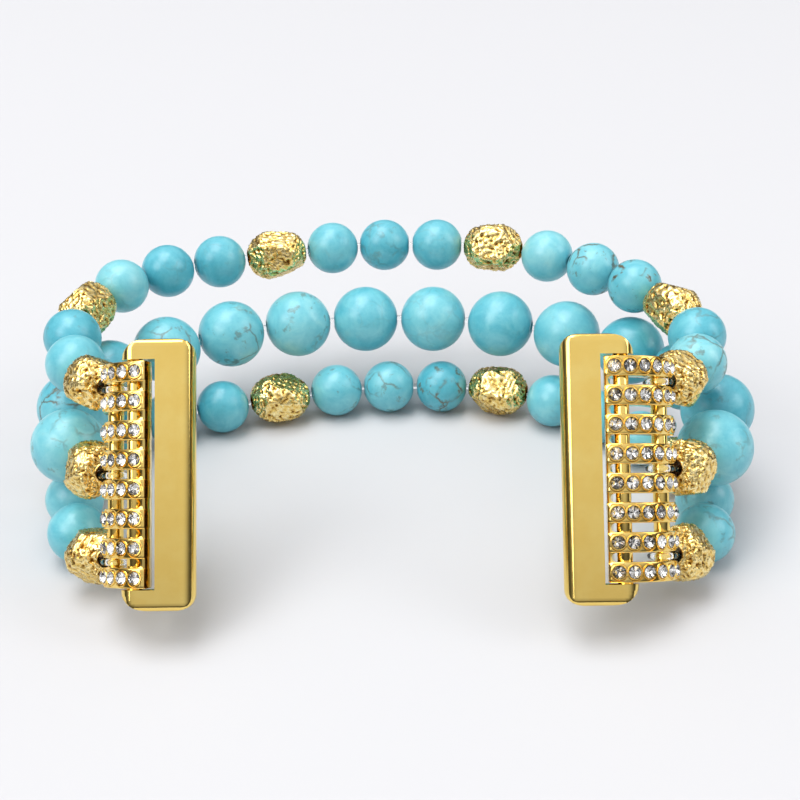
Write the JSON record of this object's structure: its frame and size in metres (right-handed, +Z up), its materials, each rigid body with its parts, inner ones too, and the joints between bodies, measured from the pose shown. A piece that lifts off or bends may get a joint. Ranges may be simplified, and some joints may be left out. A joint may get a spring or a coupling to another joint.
{
  "type": "stretch watch band",
  "caption": "Stretch bracelet band for a watch: three strands of turquoise and gold nugget beads on elastic cord, with hinged crystal ladder ends and slide-in lug adapters.",
  "frame": {"origin": "middle of the band's outline, at the surface it stands on", "axes": "+X across the loop, +Y from the ladders to the back of the loop, +Z up"},
  "size_m": [0.0746, 0.0564, 0.0251],
  "materials": {
    "turquoise": "polished",
    "gold_nugget": "rough cast, gold plated",
    "polished_gold": "polished, gold plated",
    "pale_gold": "polished, gold plated",
    "clear_elastic": "clear",
    "crystal": "faceted",
    "steel": "satin"
  },
  "bodies": {
    "back_of_band": {"top_bead_back": "turquoise", "top_bead_back_left": "turquoise", "top_bead_back_right": "turquoise", "middle_beads_back": "turquoise", "bottom_beads_back": "turquoise", "top_elastic_cord": "clear_elastic", "middle_elastic_cord": "clear_elastic", "bottom_elastic_cord": "clear_elastic"},
    "left_rear_section": {"top_nugget_back_left": "gold_nugget", "top_bead_left_1": "turquoise", "top_bead_left_2": "turquoise", "top_bead_left_3": "turquoise", "middle_beads_left_rear": "turquoise", "bottom_nugget_back_left": "gold_nugget", "bottom_beads_left_rear": "turquoise"},
    "left_side_section": {"top_nugget_side_left": "gold_nugget", "middle_bead_left_1": "turquoise", "bottom_bead_left_1": "turquoise"},
    "left_turn_section": {"top_bead_left_4": "turquoise", "middle_bead_left_2": "turquoise", "bottom_nugget_side_left": "gold_nugget"},
    "left_front_section": {"top_bead_left_5": "turquoise", "middle_bead_left_3": "turquoise", "bottom_beads_left_front": "turquoise"},
    "left_end_nuggets": {"top_end_nugget_left": "gold_nugget", "middle_end_nugget_left": "gold_nugget", "bottom_end_nugget_left": "gold_nugget"},
    "left_ladder_set": {"left_ladder": "pale_gold", "left_ladder_crystals": "crystal", "left_cord_rod": "polished_gold", "left_hinge_pin": "polished_gold"},
    "left_lug": {"left_lug_adapter": "polished_gold", "left_lock_spring": "steel"},
    "left_plunger": {"left_lock_plunger": "steel"},
    "right_rear_section": {"top_nugget_back_right": "gold_nugget", "top_bead_right_1": "turquoise", "top_bead_right_2": "turquoise", "top_bead_right_3": "turquoise", "middle_beads_right_rear": "turquoise", "bottom_nugget_back_right": "gold_nugget", "bottom_beads_right_rear": "turquoise"},
    "right_side_section": {"top_nugget_side_right": "gold_nugget", "middle_bead_right_1": "turquoise", "bottom_bead_right_1": "turquoise"},
    "right_turn_section": {"top_bead_right_4": "turquoise", "middle_bead_right_2": "turquoise", "bottom_nugget_side_right": "gold_nugget"},
    "right_front_section": {"top_bead_right_5": "turquoise", "middle_bead_right_3": "turquoise", "bottom_beads_right_front": "turquoise"},
    "right_end_nuggets": {"top_end_nugget_right": "gold_nugget", "middle_end_nugget_right": "gold_nugget", "bottom_end_nugget_right": "gold_nugget"},
    "right_ladder_set": {"right_ladder": "pale_gold", "right_ladder_crystals": "crystal", "right_cord_rod": "polished_gold", "right_hinge_pin": "polished_gold"},
    "right_lug": {"right_lug_adapter": "polished_gold", "right_lock_spring": "steel"},
    "right_plunger": {"right_lock_plunger": "steel"}
  },
  "joints": [
    {"name": "left_rear_stretch", "type": "slide", "parent": "back_of_band", "child": "left_rear_section", "axis": [-0.9906, -0.1366, 0], "range_m": [0, 0.0016], "stiffness_N_per_m": 400, "deforming": ["top_elastic_cord", "middle_elastic_cord", "bottom_elastic_cord"]},
    {"name": "left_side_stretch", "type": "slide", "parent": "left_rear_section", "child": "left_side_section", "axis": [-0.6865, -0.7272, 0], "range_m": [0, 0.0016], "stiffness_N_per_m": 400, "deforming": ["top_elastic_cord", "middle_elastic_cord", "bottom_elastic_cord"]},
    {"name": "left_flex", "type": "hinge", "parent": "left_side_section", "child": "left_turn_section", "pos_m": [-0.03306, 0.00334, 0.01], "axis": [0, 0, -1], "range_deg": [-2, 14], "deforming": ["top_elastic_cord", "middle_elastic_cord", "bottom_elastic_cord"]},
    {"name": "left_flex_front", "type": "hinge", "parent": "left_turn_section", "child": "left_front_section", "pos_m": [-0.03392, -0.00456, 0.01], "axis": [0, 0, -1], "range_deg": [-2, 14], "deforming": ["top_elastic_cord", "middle_elastic_cord", "bottom_elastic_cord"]},
    {"name": "left_end_stretch", "type": "slide", "parent": "left_front_section", "child": "left_end_nuggets", "axis": [0.5275, -0.8368, 0.1467], "range_m": [0, 0.0016], "stiffness_N_per_m": 400, "deforming": ["top_elastic_cord", "middle_elastic_cord", "bottom_elastic_cord"]},
    {"name": "left_ladder_swing", "type": "hinge", "parent": "left_end_nuggets", "child": "left_ladder_set", "pos_m": [-0.02599, -0.01729, 0.01216], "axis": [0, 0.5592, 0.829], "range_deg": [-15, 35], "deforming": ["top_elastic_cord", "middle_elastic_cord", "bottom_elastic_cord"]},
    {"name": "left_lug_swing", "type": "hinge", "parent": "left_ladder_set", "child": "left_lug", "pos_m": [-0.02353, -0.02031, 0.0142], "axis": [0, 0.5592, 0.829], "range_deg": [-30, 30]},
    {"name": "left_lock_plunger_press", "type": "slide", "parent": "left_lug", "child": "left_plunger", "axis": [0, -0.829, 0.5592], "range_m": [0, 0.0005], "stiffness_N_per_m": 150, "springref_m": -0.001, "deforming": ["left_lock_spring"]},
    {"name": "right_rear_stretch", "type": "slide", "parent": "back_of_band", "child": "right_rear_section", "axis": [0.9815, -0.1917, 0], "range_m": [0, 0.0016], "stiffness_N_per_m": 400, "deforming": ["top_elastic_cord", "middle_elastic_cord", "bottom_elastic_cord"]},
    {"name": "right_side_stretch", "type": "slide", "parent": "right_rear_section", "child": "right_side_section", "axis": [0.6414, -0.7672, 0], "range_m": [0, 0.0016], "stiffness_N_per_m": 400, "deforming": ["top_elastic_cord", "middle_elastic_cord", "bottom_elastic_cord"]},
    {"name": "right_flex", "type": "hinge", "parent": "right_side_section", "child": "right_turn_section", "pos_m": [0.03343, 0.00142, 0.01], "axis": [0, 0, 1], "range_deg": [-2, 14], "deforming": ["top_elastic_cord", "middle_elastic_cord", "bottom_elastic_cord"]},
    {"name": "right_flex_front", "type": "hinge", "parent": "right_turn_section", "child": "right_front_section", "pos_m": [0.03355, -0.00653, 0.01], "axis": [0, 0, 1], "range_deg": [-2, 14], "deforming": ["top_elastic_cord", "middle_elastic_cord", "bottom_elastic_cord"]},
    {"name": "right_end_stretch", "type": "slide", "parent": "right_front_section", "child": "right_end_nuggets", "axis": [-0.5863, -0.7852, 0.1993], "range_m": [0, 0.0016], "stiffness_N_per_m": 400, "deforming": ["top_elastic_cord", "middle_elastic_cord", "bottom_elastic_cord"]},
    {"name": "right_ladder_swing", "type": "hinge", "parent": "right_end_nuggets", "child": "right_ladder_set", "pos_m": [0.02468, -0.01849, 0.01297], "axis": [0, -0.5592, -0.829], "range_deg": [-15, 35], "deforming": ["top_elastic_cord", "middle_elastic_cord", "bottom_elastic_cord"]},
    {"name": "right_lug_swing", "type": "hinge", "parent": "right_ladder_set", "child": "right_lug", "pos_m": [0.02087, -0.02031, 0.0142], "axis": [0, -0.5592, -0.829], "range_deg": [-30, 30]},
    {"name": "right_lock_plunger_press", "type": "slide", "parent": "right_lug", "child": "right_plunger", "axis": [0, -0.829, 0.5592], "range_m": [0, 0.0005], "stiffness_N_per_m": 150, "springref_m": -0.001, "deforming": ["right_lock_spring"]}
  ],
  "couplings": [
    {"joint": "left_side_stretch", "follows": "left_rear_stretch", "ratio": 1},
    {"joint": "left_flex_front", "follows": "left_flex", "ratio": 1},
    {"joint": "left_end_stretch", "follows": "left_rear_stretch", "ratio": 1},
    {"joint": "right_rear_stretch", "follows": "left_rear_stretch", "ratio": 1},
    {"joint": "right_side_stretch", "follows": "left_rear_stretch", "ratio": 1},
    {"joint": "right_flex_front", "follows": "right_flex", "ratio": 1},
    {"joint": "right_end_stretch", "follows": "left_rear_stretch", "ratio": 1}
  ]
}
